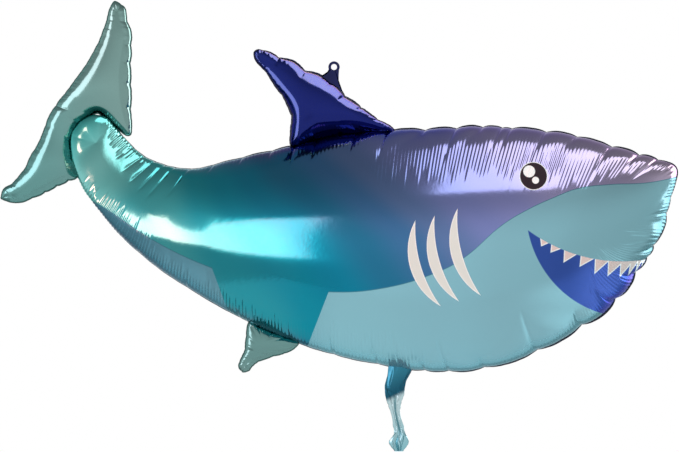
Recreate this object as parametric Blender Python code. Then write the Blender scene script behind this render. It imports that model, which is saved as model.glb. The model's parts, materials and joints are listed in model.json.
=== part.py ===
"""Shark-shaped foil balloon: welded foil chambers, their seams, a hang tab and an inflation neck.

Units are metres, +Z is up and the nose points along +X. The balloon lies in the XZ plane, which is
also its plane of symmetry, and the origin is at the centre of lift of the filled body.

Each chamber is two foil panels, right (towards -Y) and left (towards +Y), welded to each other along
a flat seam in the XZ plane. A chamber is described by ribs: a rib runs from one point of the weld line
over the crest of the chamber, above its spine, to a point of the weld line on the other side.
"""

import math
from collections import namedtuple

import bmesh
import bpy
import numpy as np

MM = 0.001

# Driving dimensions
WALL = 10 * MM  # the envelope's wall, a thick stand-in for thin foil
SEAM_THICKNESS = 2 * MM
SEAM_OUTSIDE = 5 * MM  # how far the flat seam stands out past the weld line
SEAM_INSIDE = 8 * MM  # how far the seam reaches in between the two panels
TOUCH_GAP = 0.3 * MM  # between pieces that lie on each other
SEAT_GAP = 1.4 * MM  # between a fin's weld line and the body's, wide enough for their straight chords
PUCKER_DEPTH = 0.12  # how much a pucker at the weld line flattens the rib through it
SEAM_LEAST_ARM = 0.55  # the least share of a rib's arm that lies inside the seam's inner edge
HOLLOW_LEAST_ARM = 0.45  # the least share of a rib's arm that lies over the hollow
HOLLOW_LEAST_HEIGHT = 0.12  # the hollow's least height, as a share of the chamber's half thickness
TAB_HOLE_RADIUS = 5 * MM
TAB_RING_RADIUS = 8.8 * MM
TAB_RING_CENTRE = (-115.2 * MM, 264.2 * MM)
TAB_RING_START, TAB_RING_END = math.radians(-28), math.radians(208)
TAB_RING_STEPS = 14
TAB_HOLE_SIDES = 20
NECK_SIDES = 12
NECK_GAP_HEIGHT = 50 * MM  # of the opening in the body's seam, enough to cross it
CLOSE = 0.02 * MM  # points nearer than this are one point
SHARP = math.radians(50)  # edges that turn more than this are shaded sharp

RIGHT, LEFT = -1, 1

Rib = namedtuple("Rib", "top spine bottom half seated")

# Tables of ribs, in millimetres. Columns: x and z of the weld line at the rib's top end, x and z of the
# spine, x and z of the weld line at the bottom end, half the chamber's thickness at the spine, and how
# many of the rib's ends lie on the body's weld line (1: the bottom end, 2: both).
BODY_RIBS = (
    (-504, 180, -479, 147, -504, 180, 46, 0),
    (-485, 190, -479, 147, -517, 161, 46, 0),
    (-465, 186, -479, 147, -518, 137, 46, 0),
    (-452, 172, -476, 143, -513, 111, 46, 0),
    (-432, 149, -465, 118, -499, 78, 49, 0),
    (-410, 129, -447, 91, -478, 49, 55, 0),
    (-386, 117, -424, 65, -452, 17, 63, 0),
    (-356, 109, -395, 40, -418, -17, 73, 0),
    (-324, 108, -356, 18, -373, -52, 86, 0),
    (-287, 117, -309, 2, -320, -86, 101, 0),
    (-241, 128, -250, -11, -257, -121, 117, 0),
    (-183, 141, -186, -17, -190, -151, 130, 0),
    (-114, 158, -117, -17, -120, -175, 140, 0),
    (-37, 164, -48, -14, -41, -192, 145, 0),
    (40, 167, 17, -11, 35, -201, 147, 0),
    (120, 171, 81, -8, 109, -197, 146, 0),
    (190, 166, 143, -3, 177, -178, 141, 0),
    (250, 158, 201, 3, 234, -149, 132, 0),
    (304, 143, 241, 9, 281, -120, 122, 0),
    (355, 128, 260, 14, 318, -89, 117, 0),
    (399, 109, 263, 15, 345, -52, 116, 0),
    (402, 75, 263, 15, 371, -17, 116, 0),
    (391, 28, 263, 15, 391, 28, 116, 0),
)
DORSAL_FIN_RIBS = (
    (-237, 286, -226, 275, -237, 286, 9, 0),
    (-230, 290, -226, 275, -234, 275, 9, 0),
    (-217, 286, -220, 270, -224, 263, 11, 0),
    (-198, 277, -204, 260, -212, 247, 15, 0),
    (-178, 270, -189, 246, -200, 229, 19, 0),
    (-158, 257, -174, 229, -187, 209, 24, 0),
    (-137, 249, -161, 212, -180, 187, 28, 0),
    (-114, 234, -151, 200, -181, 164, 31, 0),
    (-94, 215, -140, 190, -178, 143, 33, 1),
    (-75, 202, -124, 186, -143, 151, 33, 1),
    (-60, 190, -104, 181, -106, 158, 30, 1),
    (-45, 181, -84, 176, -72, 161, 26, 1),
    (-32, 174, -71, 172, -45, 164, 22, 1),
    (-23, 166, -65, 171, -23, 166, 21, 2),
)
TAIL_FIN_RIBS = (
    (-452, 364, -449, 349, -452, 364, 8, 0),
    (-458, 353, -449, 349, -439, 355, 8, 0),
    (-462, 339, -449, 338, -435, 336, 10, 0),
    (-467, 323, -449, 320, -429, 316, 14, 0),
    (-475, 303, -453, 296, -429, 290, 18, 0),
    (-487, 280, -459, 272, -430, 261, 22, 0),
    (-501, 258, -465, 249, -429, 230, 25, 0),
    (-512, 243, -470, 230, -429, 197, 26, 0),
    (-521, 231, -475, 220, -429, 161, 25, 0),
    (-528, 221, -485, 214, -452, 174, 22, 1),
    (-536, 212, -504, 206, -478, 194, 18, 1),
    (-543, 201, -522, 192, -502, 181, 14, 1),
    (-551, 187, -533, 175, -516, 163, 13, 1),
    (-558, 171, -539, 158, -520, 144, 14, 1),
    (-565, 152, -544, 138, -516, 123, 16, 1),
    (-573, 138, -548, 121, -508, 100, 18, 1),
    (-580, 126, -555, 108, -524, 91, 19, 0),
    (-588, 109, -564, 94, -539, 84, 18, 0),
    (-599, 94, -578, 84, -558, 74, 15, 0),
    (-610, 83, -593, 75, -578, 65, 11, 0),
    (-621, 76, -610, 67, -602, 57, 8, 0),
    (-626, 63, -610, 67, -626, 63, 8, 0),
)
VENTRAL_FIN_RIBS = (
    (-210, -143, -223, -161, -210, -143, 11, 2),
    (-232, -134, -223, -161, -187, -152, 11, 2),
    (-245, -128, -226, -164, -171, -160, 11, 2),
    (-249, -152, -229, -167, -186, -172, 11, 0),
    (-251, -171, -235, -175, -210, -179, 10, 0),
    (-255, -181, -244, -184, -232, -187, 8, 0),
    (-259, -189, -250, -192, -241, -193, 7, 0),
    (-260, -197, -252, -195, -246, -200, 6, 0),
    (-255, -203, -252, -195, -255, -203, 6, 0),
)
# The neck's sections, in millimetres: x and z of the middle, half the width, half the thickness.
NECK_SECTIONS = (
    (-16, -195, 20.7, 8),
    (-17, -204, 19.2, 9),
    (-20, -223, 16.1, 8),
    (-22, -238, 12.3, 6),
    (-20, -253, 7.7, 4.5),
    (-18, -275, 6.1, 4),
    (-17, -293, 6.1, 4),
    (-16, -304, 10.8, 5),
    (-16, -318, 10.8, 5),
    (-17, -329, 6.9, 3),
)
# The hang tab's edge below its ring, x and z in millimetres, from its left side round to its right.
TAB_FOOT = ((-124, 260), (-127, 253), (-135, 246), (-121, 226), (-104, 224), (-112, 240), (-110, 250))

# Colour, roughness and metallic value of each printed foil.
FOILS = {
    "body_foil": ((0.06, 0.33, 0.42, 1), 0.22, 0.9),
    "dorsal_foil": ((0.03, 0.05, 0.28, 1), 0.18, 0.9),
    "tail_foil": ((0.22, 0.42, 0.40, 1), 0.25, 0.9),
    "neck_foil": ((0.10, 0.35, 0.42, 1), 0.25, 0.9),
}


def clear_scene():
    for old in list(bpy.data.objects):
        bpy.data.objects.remove(old)


def new_collection(name):
    made = bpy.data.collections.new(name)
    bpy.context.scene.collection.children.link(made)
    return made


def new_foil(name):
    colour, roughness, metallic = FOILS[name]
    foil = bpy.data.materials.new(name)
    foil.use_nodes = True
    shader = foil.node_tree.nodes["Principled BSDF"]
    shader.inputs["Base Color"].default_value = colour
    shader.inputs["Roughness"].default_value = roughness
    shader.inputs["Metallic"].default_value = metallic
    return foil


def slope(before, here, after):
    """The tangent at a point of a curve, none where the curve stands still."""
    if np.array_equal(before, here) or np.array_equal(here, after):
        return np.zeros_like(here)
    return (after - before) / 2


def between(values, i, t):
    """The smooth curve through all the values, at t of the way from value i to the next."""
    last = len(values) - 1
    here, after = values[i], values[i + 1]
    start = slope(values[max(i - 1, 0)], here, after)
    end = slope(here, after, values[min(i + 2, last)])
    return (
        (2 * t**3 - 3 * t**2 + 1) * here
        + (t**3 - 2 * t**2 + t) * start
        + (3 * t**2 - 2 * t**3) * after
        + (t**3 - t**2) * end
    )


def smooth_ribs(table, steps):
    """The table's ribs with further ones between them, steps for each interval."""
    rows = np.array(table, float)
    columns = [rows[:, 0:2] * MM, rows[:, 2:4] * MM, rows[:, 4:6] * MM, rows[:, 6:7] * MM]
    ribs = []
    for i in range(len(rows) - 1):
        for step in range(steps):
            top, spine, bottom, half = (between(column, i, step / steps) for column in columns)
            seated = rows[i, 7] if step == 0 else min(rows[i, 7], rows[i + 1, 7])
            ribs.append(Rib(top, spine, bottom, float(half[0]), seated))
    top, spine, bottom, half = (column[-1] for column in columns)
    ribs.append(Rib(top, spine, bottom, float(half[0]), rows[-1, 7]))
    return ribs


def weld_line(ribs, outward=0.0):
    """The chamber's outline in the XZ plane, clockwise, moved along the ribs by outward."""

    def moved(end, spine):
        arm = end - spine
        length = np.linalg.norm(arm)
        return spine + arm * max(length + outward, SEAM_LEAST_ARM * length) / length

    tops = [moved(rib.top, rib.spine) for rib in ribs]
    bottoms = [moved(rib.bottom, rib.spine) for rib in ribs[-2:0:-1]]
    return tops + bottoms


def pushed_out(point, outline, gap):
    """The place nearest to a point on a clockwise outline, then gap further out."""
    nearest, least = None, math.inf
    for start, end in zip(outline, outline[1:] + outline[:1]):
        along = end - start
        share = np.clip(np.dot(point - start, along) / np.dot(along, along), 0, 1)
        foot = start + share * along
        distance = np.linalg.norm(point - foot)
        if distance < least:
            outward = np.array((-along[1], along[0])) / np.linalg.norm(along)
            nearest, least = foot + outward * gap, distance
    return nearest


def seat_on(ribs, outline):
    """The ribs with their seated ends laid along another chamber's weld line."""
    seated = []
    for rib in ribs:
        top, bottom = rib.top, rib.bottom
        if rib.seated >= 1:
            bottom = pushed_out(bottom, outline, SEAT_GAP)
        if rib.seated >= 2:
            top = pushed_out(top, outline, SEAT_GAP)
        seated.append(Rib(top, rib.spine, bottom, rib.half, rib.seated))
    return seated


def rib_points(rib, row, side, wall, arc_steps):
    """Points over one rib, from its top end over the crest to its bottom end, wall inside the surface."""
    lift = SEAM_THICKNESS / 2 + TOUCH_GAP
    height = max(rib.half - lift - wall, HOLLOW_LEAST_HEIGHT * rib.half)
    pucker = PUCKER_DEPTH * (row % 2)
    arms = []
    for end in (rib.top, rib.bottom):
        arm = end - rib.spine
        length = np.linalg.norm(arm)
        arms.append(arm * max(length - wall, HOLLOW_LEAST_ARM * length) / length)
    points = []
    for step in range(2 * arc_steps + 1):
        arm = arms[0] if step <= arc_steps else arms[1]
        angle = math.pi / 2 * (step if step <= arc_steps else 2 * arc_steps - step) / arc_steps
        flat = rib.spine + arm * math.cos(angle)
        rise = height * math.sin(angle) * (1 - pucker * math.cos(angle) ** 2)
        points.append((flat[0], side * (lift + rise), flat[1]))
    return points


def finish_mesh(name, bm, foil, collection):
    """The object made from a bmesh, with close points welded and its faces pointing out."""
    bmesh.ops.remove_doubles(bm, verts=bm.verts, dist=CLOSE)
    bmesh.ops.recalc_face_normals(bm, faces=bm.faces)
    mesh = bpy.data.meshes.new(name)
    bm.to_mesh(mesh)
    bm.free()
    mesh.shade_smooth()
    mesh.set_sharp_from_angle(angle=SHARP)
    if foil:
        mesh.materials.append(foil)
    made = bpy.data.objects.new(name, mesh)
    collection.objects.link(made)
    return made


def panel(name, ribs, side, arc_steps, foil, collection):
    """One half of a chamber: an open bowl of foil with a flat rim that lies on the seam."""
    bm = bmesh.new()
    skins = []
    for wall in (0.0, WALL):
        skins.append([
            [bm.verts.new(point) for point in rib_points(rib, row, side, wall, arc_steps)]
            for row, rib in enumerate(ribs)
        ])
    for skin in skins:
        for here, after in zip(skin, skin[1:]):
            for k in range(2 * arc_steps):
                bm.faces.new((here[k], here[k + 1], after[k + 1], after[k]))
    outer, inner = skins
    for row in range(len(ribs) - 1):
        for end in (0, -1):
            bm.faces.new((outer[row][end], outer[row + 1][end], inner[row + 1][end], inner[row][end]))
    return finish_mesh(name, bm, foil, collection)


def flat_sheet(name, outlines, thickness, foil, collection):
    """A flat piece in the XZ plane from closed outlines, the second and later ones being holes."""
    curve = bpy.data.curves.new(name, "CURVE")
    curve.dimensions = "2D"
    curve.fill_mode = "BOTH"
    curve.extrude = thickness / 2
    for outline in outlines:
        spline = curve.splines.new("POLY")
        spline.points.add(len(outline) - 1)
        for point, (x, z) in zip(spline.points, outline):
            point.co = (x, z, 0, 1)
        spline.use_cyclic_u = True
    drawn = bpy.data.objects.new(name, curve)
    drawn.rotation_euler = (math.pi / 2, 0, 0)
    collection.objects.link(drawn)
    bpy.context.view_layer.update()
    mesh = bpy.data.meshes.new_from_object(drawn.evaluated_get(bpy.context.evaluated_depsgraph_get()))
    place = drawn.matrix_world.copy()
    bpy.data.objects.remove(drawn)
    bm = bmesh.new()
    bm.from_mesh(mesh)
    bpy.data.meshes.remove(mesh)
    made = finish_mesh(name, bm, foil, collection)
    made.matrix_world = place
    return made


def cut(target, cutter):
    """Takes the cutter's shape out of the target and keeps the cutter out of the render."""
    cutter.hide_render = True
    cutter.display_type = "WIRE"
    modifier = target.modifiers.new("cut_" + cutter.name, "BOOLEAN")
    modifier.operation = "DIFFERENCE"
    modifier.object = cutter


def seam(name, ribs, foil, collection):
    """The flat welded band round a chamber."""
    outlines = (weld_line(ribs, SEAM_OUTSIDE), weld_line(ribs, -SEAM_INSIDE))
    return flat_sheet(name, outlines, SEAM_THICKNESS, foil, collection)


def seam_cutter(name, ribs, collection):
    """A plate as large as a chamber with its seam, for cutting the sheets that end against it."""
    outline = weld_line(ribs, SEAM_OUTSIDE + TOUCH_GAP)
    return flat_sheet(name, (outline,), 4 * SEAM_THICKNESS, None, collection)


def chamber(name, ribs, arc_steps, foil, collection):
    """A chamber's two panels and its seam, as a list."""
    return [
        panel(name + "_panel_right", ribs, RIGHT, arc_steps, foil, collection),
        panel(name + "_panel_left", ribs, LEFT, arc_steps, foil, collection),
        seam(name + "_seam", ribs, foil, collection),
    ]


def keel_height(outline, x):
    """The lowest z of the body's weld line at x."""
    crossings = []
    for start, end in zip(outline, outline[1:] + outline[:1]):
        if min(start[0], end[0]) <= x <= max(start[0], end[0]) and start[0] != end[0]:
            crossings.append(start[1] + (end[1] - start[1]) * (x - start[0]) / (end[0] - start[0]))
    return min(crossings)


def inflation_neck(name, outline, foil, collection):
    """The flattened filling tube below the body: a loft of oval sections that starts at the weld line."""
    sections = np.array(NECK_SECTIONS, float) * MM
    rings = [between(sections, i, t) for i in range(len(sections) - 1) for t in (0, 0.5)] + [sections[-1]]
    bm = bmesh.new()
    loops = []
    for x, z, half_width, half_thickness in rings:
        loop = []
        for k in range(NECK_SIDES):
            angle = 2 * math.pi * k / NECK_SIDES
            px = x + half_width * math.cos(angle)
            pz = keel_height(outline, px) - SEAT_GAP if z > rings[1][1] else z
            loop.append(bm.verts.new((px, half_thickness * math.sin(angle), pz)))
        loops.append(loop)
    for here, after in zip(loops, loops[1:]):
        for k in range(NECK_SIDES):
            follow = (k + 1) % NECK_SIDES
            bm.faces.new((here[k], here[follow], after[follow], after[k]))
    bm.faces.new(loops[0])
    bm.faces.new(loops[-1])
    return finish_mesh(name, bm, foil, collection)


def neck_gap_cutter(name, collection):
    """The stretch of the body's seam that is left open where the neck joins it."""
    x, z, half_width, _ = (value * MM for value in NECK_SECTIONS[0])
    bm = bmesh.new()
    bmesh.ops.create_cube(bm, size=1)
    width, depth, height = 2 * (half_width + TOUCH_GAP), 4 * SEAM_THICKNESS, NECK_GAP_HEIGHT
    bmesh.ops.scale(bm, vec=(width, depth, height), verts=bm.verts)
    bmesh.ops.translate(bm, vec=(x, 0, z), verts=bm.verts)
    return finish_mesh(name, bm, None, collection)


def hang_tab(name, foil, collection):
    """The flat tab on the dorsal fin's seam, with its round hole."""
    cx, cz = TAB_RING_CENTRE
    ring = []
    for step in range(TAB_RING_STEPS + 1):
        angle = TAB_RING_START + (TAB_RING_END - TAB_RING_START) * step / TAB_RING_STEPS
        ring.append((cx + TAB_RING_RADIUS * math.cos(angle), cz + TAB_RING_RADIUS * math.sin(angle)))
    edge = ring + [(x * MM, z * MM) for x, z in TAB_FOOT]
    hole = [
        (
            cx + TAB_HOLE_RADIUS * math.cos(2 * math.pi * k / TAB_HOLE_SIDES),
            cz + TAB_HOLE_RADIUS * math.sin(2 * math.pi * k / TAB_HOLE_SIDES),
        )
        for k in range(TAB_HOLE_SIDES)
    ]
    return flat_sheet(name, (edge, hole), SEAM_THICKNESS, foil, collection)


def main():
    clear_scene()
    balloon = new_collection("shark_foil_balloon")
    cutters = new_collection("cutters")
    foils = {name: new_foil(name) for name in FOILS}

    body_ribs = smooth_ribs(BODY_RIBS, 2)
    outline = weld_line(body_ribs)
    dorsal_ribs = seat_on(smooth_ribs(DORSAL_FIN_RIBS, 2), outline)
    tail_ribs = seat_on(smooth_ribs(TAIL_FIN_RIBS, 2), outline)
    ventral_ribs = seat_on(smooth_ribs(VENTRAL_FIN_RIBS, 2), outline)

    body = chamber("body", body_ribs, 6, foils["body_foil"], balloon)
    dorsal = chamber("dorsal_fin", dorsal_ribs, 4, foils["dorsal_foil"], balloon)
    tail = chamber("tail_fin", tail_ribs, 4, foils["tail_foil"], balloon)
    ventral = chamber("ventral_fin", ventral_ribs, 3, foils["tail_foil"], balloon)
    neck = inflation_neck("inflation_neck", outline, foils["neck_foil"], balloon)
    tab = hang_tab("hang_tab", foils["dorsal_foil"], balloon)

    body_plate = seam_cutter("body_plate", body_ribs, cutters)
    for fin in (dorsal, tail, ventral):
        cut(fin[-1], body_plate)
    cut(tab, seam_cutter("dorsal_plate", dorsal_ribs, cutters))
    cut(body[-1], neck_gap_cutter("neck_gap", cutters))

    root = bpy.data.objects.new("shark_balloon_centre_of_lift", None)
    balloon.objects.link(root)
    for piece in body + dorsal + tail + ventral + [neck, tab]:
        piece.parent = root


main()
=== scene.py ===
"""Looks of the shark-shaped foil balloon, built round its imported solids.

+X points to the nose and +Z up, and the seams lie in the XZ plane. Tables of the balloon's form and print
are in millimetres, and everything else is in metres. Each chamber's film is a grid: a row is a rib, from
the weld line over the crest to the weld line on the other side, and a column follows the seam.
"""

import functools
import json
import math

import bpy
import numpy as np
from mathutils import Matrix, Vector

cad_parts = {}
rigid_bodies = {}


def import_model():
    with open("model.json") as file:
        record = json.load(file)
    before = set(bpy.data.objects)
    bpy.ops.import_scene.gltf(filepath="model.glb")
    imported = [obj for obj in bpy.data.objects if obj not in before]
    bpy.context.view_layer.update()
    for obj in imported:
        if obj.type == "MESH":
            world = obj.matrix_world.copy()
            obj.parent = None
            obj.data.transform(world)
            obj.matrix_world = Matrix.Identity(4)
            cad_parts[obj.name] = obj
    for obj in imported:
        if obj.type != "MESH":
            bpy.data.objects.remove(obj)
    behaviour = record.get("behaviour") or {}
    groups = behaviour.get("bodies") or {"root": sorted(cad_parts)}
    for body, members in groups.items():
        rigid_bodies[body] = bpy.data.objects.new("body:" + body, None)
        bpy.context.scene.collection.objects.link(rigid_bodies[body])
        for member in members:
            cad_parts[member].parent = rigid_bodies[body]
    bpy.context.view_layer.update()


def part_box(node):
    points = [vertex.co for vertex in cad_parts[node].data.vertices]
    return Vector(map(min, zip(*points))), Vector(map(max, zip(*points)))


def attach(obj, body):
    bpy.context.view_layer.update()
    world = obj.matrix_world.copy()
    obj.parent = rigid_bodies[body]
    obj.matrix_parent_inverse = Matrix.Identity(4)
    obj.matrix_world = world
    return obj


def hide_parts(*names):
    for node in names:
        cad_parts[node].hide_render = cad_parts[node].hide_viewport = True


MM = 0.001
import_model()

RIGHT, LEFT = -1, 1

# The ribs of each chamber. Columns: x and z of the weld line at the rib's top end, x and z of the spine below
# its crest, x and z of the weld line at its bottom end.
BODY_RIBS = (
    (-504, 180, -479, 147, -504, 180),
    (-485, 190, -479, 147, -517, 161),
    (-465, 186, -479, 147, -518, 137),
    (-452, 172, -476, 143, -513, 111),
    (-432, 149, -465, 118, -499, 78),
    (-410, 129, -447, 91, -478, 49),
    (-386, 117, -424, 65, -452, 17),
    (-356, 109, -395, 40, -418, -17),
    (-324, 108, -356, 18, -373, -52),
    (-287, 117, -309, 2, -320, -86),
    (-241, 128, -250, -11, -257, -121),
    (-183, 141, -186, -17, -190, -151),
    (-114, 158, -117, -17, -120, -175),
    (-37, 164, -48, -14, -41, -192),
    (40, 167, 17, -11, 35, -201),
    (120, 171, 81, -8, 109, -197),
    (190, 166, 143, -3, 177, -178),
    (250, 158, 201, 3, 234, -149),
    (304, 143, 241, 9, 281, -120),
    (355, 128, 260, 14, 318, -89),
    (405, 112, 263, 15, 345, -52),
    (406, 84, 263, 15, 371, -17),
    (391, 28, 263, 15, 391, 28),
)
DORSAL_FIN_RIBS = (
    (-237, 286, -226, 275, -237, 286),
    (-230, 290, -226, 275, -234, 275),
    (-217, 286, -220, 270, -224, 263),
    (-198, 277, -204, 260, -212, 247),
    (-178, 270, -189, 246, -200, 229),
    (-158, 257, -174, 229, -187, 209),
    (-137, 249, -161, 212, -180, 187),
    (-114, 234, -151, 200, -181, 164),
    (-94, 215, -140, 190, -178, 143),
    (-75, 202, -124, 186, -143, 151),
    (-60, 190, -104, 181, -106, 158),
    (-45, 181, -84, 176, -72, 161),
    (-32, 174, -71, 172, -45, 164),
    (-23, 166, -65, 171, -23, 166),
)
TAIL_FIN_RIBS = (
    (-452, 364, -449, 349, -452, 364),
    (-458, 353, -449, 349, -439, 355),
    (-462, 339, -449, 338, -435, 336),
    (-467, 323, -449, 320, -429, 316),
    (-475, 303, -453, 296, -429, 290),
    (-487, 280, -459, 272, -430, 261),
    (-501, 258, -465, 249, -429, 230),
    (-512, 243, -470, 230, -429, 197),
    (-521, 231, -475, 220, -429, 161),
    (-528, 221, -485, 214, -452, 174),
    (-536, 212, -504, 206, -478, 194),
    (-543, 201, -522, 192, -502, 181),
    (-551, 187, -533, 175, -516, 163),
    (-558, 171, -539, 158, -520, 144),
    (-565, 152, -544, 138, -516, 123),
    (-573, 138, -548, 121, -508, 100),
    (-580, 126, -555, 108, -524, 91),
    (-588, 109, -564, 94, -539, 84),
    (-599, 94, -578, 84, -558, 74),
    (-610, 83, -593, 75, -578, 65),
    (-621, 76, -610, 67, -602, 57),
    (-626, 63, -610, 67, -626, 63),
)
VENTRAL_FIN_RIBS = (
    (-210, -143, -223, -161, -210, -143),
    (-232, -134, -223, -161, -187, -152),
    (-245, -128, -226, -164, -171, -160),
    (-249, -152, -229, -167, -186, -172),
    (-251, -171, -235, -175, -210, -179),
    (-255, -181, -244, -184, -232, -187),
    (-259, -189, -250, -192, -241, -193),
    (-260, -197, -252, -195, -246, -200),
    (-255, -203, -252, -195, -255, -203),
)
# How flat the chambers are. Columns: x, and the powers above and below the crest, which flatten the middle
# if they are under 1.
BODY_FLATNESS = (
    (-480, 0.16, 0.16),
    (-455, 0.2, 0.35),
    (-413, 0.3, 0.6),
    (-365, 0.5, 0.9),
    (-310, 0.9, 1),
    (-280, 1, 1),
)
DORSAL_FLATNESS = ((-168, 0.5, 0.55), (-140, 0.5, 1.6))
# Where the body gets fuller towards the tail, and how far behind the origin that fullness sags.
REAR_X, REAR_LENGTH, REAR_POWER = -100 * MM, 380 * MM, 2.6
SAG_ZONE, TIP_LENGTH = (300 * MM, 420 * MM), 80 * MM

# The creases that run inward from the body's weld line, clockwise from the tail's tip. Columns: x and z on
# the weld line, how far the crease runs in, and how high the film stands between this crease and the next.
BODY_CREASES = (
    (-470, 187, 24, 0.4),
    (-440, 158, 40, 0.3),
    (-422, 139, 70, 0.3),
    (-404, 126, 80, 0.25),
    (-388, 118, 95, 0.25),
    (-372, 113, 110, 0.25),
    (-357, 110, 115, 0.25),
    (-335, 108, 100, 0.3),
    (-300, 114, 50, 0.6),
    (-255, 125, 45, 1.2),
    (-210, 135, 50, 1.5),
    (-172, 144, 95, 1.5),
    (-140, 152, 90, 1.5),
    (-80, 161, 90, 2.0),
    (-32, 164, 120, 3.2),
    (25, 166, 45, 3.0),
    (73, 169, 150, 3.0),
    (114, 171, 45, 2.2),
    (143, 169, 140, 1.0),
    (158, 168, 110, 3.0),
    (211, 163, 150, 2.6),
    (258, 156, 55, 2.8),
    (312, 142, 140, 3.2),
    (354, 130, 70, 2.6),
    (381, 116, 90, 2.0),
    (404, 64, 40, 1.2),
    (393, 41, 80, 3.5),
    (378, -10, 70, 2.2),
    (364, -26, 50, 3.0),
    (349, -50, 80, 5.0),
    (315, -88, 100, 5.5),
    (265, -129, 80, 4.5),
    (196, -168, 140, 3.2),
    (116, -195, 60, 2.6),
    (61, -200, 120, 1.8),
    (25, -200, 50, 1.5),
    (-11, -196, 130, 1.2),
    (-48, -190, 110, 1.0),
    (-115, -176, 90, 0.8),
    (-180, -154, 60, 0.6),
    (-260, -119, 50, 0.5),
    (-340, -73, 50, 0.5),
    (-410, -23, 50, 0.5),
    (-470, 39, 40, 0.5),
)
# The fine ripples along the body's weld line. Columns: x and z on the weld line, how far in the ripples
# start, how far in they end, and how high they stand.
BODY_RIPPLES = (
    (-485, 190, 1, 16, 1.2),
    (-465, 186, 6, 30, 0.9),
    (-445, 163, 4, 48, 1.0),
    (-425, 142, 4, 60, 0.9),
    (-410, 129, 8, 50, 0.4),
    (-380, 115, 10, 40, 0.25),
    (-330, 108, 10, 40, 0.25),
    (-270, 121, 10, 40, 0.2),
    (-180, 142, 15, 60, 0.4),
    (-100, 159, 30, 110, 0.3),
    (-40, 164, 40, 150, 0.3),
    (15, 166, 60, 155, 0.3),
    (40, 167, 78, 146, 0.9),
    (150, 169, 60, 148, 1.1),
    (215, 163, 60, 150, 1.1),
    (290, 147, 66, 136, 0.9),
    (340, 132, 50, 94, 0.8),
    (385, 114, 20, 50, 0.4),
    (406, 84, 2, 24, 1.1),
    (393, 41, 3, 60, 1.2),
    (385, 15, 6, 110, 1.0),
    (350, -45, 10, 130, 1.2),
    (315, -88, 10, 120, 0.9),
    (280, -120, 12, 70, 0.45),
    (200, -167, 8, 50, 0.35),
    (60, -200, 8, 60, 0.4),
    (-30, -193, 10, 110, 0.6),
    (-150, -164, 10, 110, 0.7),
    (-220, -136, 8, 80, 0.7),
    (-320, -86, 8, 70, 0.4),
    (-400, -27, 10, 90, 0.6),
    (-450, 14, 15, 100, 0.9),
    (-499, 78, 15, 70, 0.8),
    (-518, 137, 8, 30, 0.5),
    (-504, 180, 1, 16, 1.2),
)
# The fins' creases, with the columns of the body's.
DORSAL_FIN_CREASES = (
    (-225, 288, 20, 1.0),
    (-201, 278, 26, 1.6),
    (-160, 258, 30, 1.6),
    (-121, 239, 34, 1.2),
    (-98, 219, 34, 1.2),
    (-74, 201, 26, 1.0),
    (-49, 183, 18, 0.8),
    (-70, 161, 14, 0.6),
    (-106, 158, 16, 0.6),
    (-150, 149, 18, 0.6),
    (-181, 190, 22, 0.7),
    (-195, 221, 20, 0.7),
    (-219, 256, 16, 0.8),
)
TAIL_FIN_CREASES = (
    (-445, 355, 14, 0.8),
    (-437, 333, 18, 1.2),
    (-431, 298, 20, 1.6),
    (-430, 270, 24, 1.8),
    (-429, 238, 26, 1.8),
    (-429, 200, 24, 1.6),
    (-430, 168, 14, 0.8),
    (-452, 174, 10, 0.8),
    (-478, 194, 12, 1.0),
    (-507, 178, 45, 1.2),
    (-519, 150, 22, 1.2),
    (-516, 123, 25, 1.0),
    (-508, 100, 18, 1.0),
    (-524, 91, 16, 1.6),
    (-541, 83, 16, 1.6),
    (-559, 74, 16, 1.4),
    (-578, 65, 14, 1.4),
    (-602, 57, 12, 1.0),
    (-626, 63, 12, 0.8),
    (-610, 83, 14, 0.7),
    (-588, 109, 16, 0.7),
    (-573, 138, 16, 0.7),
    (-557, 173, 16, 0.7),
    (-541, 204, 60, 1.4),
    (-521, 231, 14, 0.5),
    (-495, 267, 12, 0.4),
    (-475, 303, 12, 0.4),
    (-464, 333, 12, 0.5),
)
# The fins. Columns: the name, the ribs, how flat it is, the creases or None for even ones, the grid's spacing
# along the weld, its steps from the weld to the crest, the width and height of even lobes, and the seed.
FINS = (
    ("dorsal_fin", DORSAL_FIN_RIBS, DORSAL_FLATNESS, DORSAL_FIN_CREASES, 1.3, 26, 30, 1.6, 11),
    ("tail_fin", TAIL_FIN_RIBS, ((0, 0.7, 0.6),), TAIL_FIN_CREASES, 1.5, 22, 34, 1.2, 21),
    ("ventral_fin", VENTRAL_FIN_RIBS, ((0, 0.7, 0.7),), None, 1.3, 16, 20, 0.8, 31),
)

# How much even pleats differ in width, height and reach, and ripples in width and height.
PLEAT_WIDTHS, PLEAT_RISES, PLEAT_REACHES = (0.7, 1.3), (0.6, 1.3), (0.75, 1.2)
RIPPLE_WIDTHS, RIPPLE_RISES = (0.88, 1.12), (0.7, 1.15)
# Where pleats fade out: as shares of the way to the crest, and near a chamber's two ends. Then where they
# lean more, along the chin.
CREST_FADE, END_LENGTH, END_FADE = (0.68, 0.96), 25 * MM, (8 * MM, 18 * MM)
CHIN_START, CHIN_END = (20 * MM, 60 * MM), (150 * MM, 220 * MM)
# The weld: half its gap and half its thickness, how far it laps inward, and its widths beside and at lobes.
WELD_GAP, WELD_HALF, WELD_LAP = 0.15 * MM, 0.2 * MM, 1.5 * MM
BODY_WELD_WIDTHS, FIN_WELD_WIDTHS = (0.6 * MM, 3.2 * MM), (0.6 * MM, 2.5 * MM)

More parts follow.
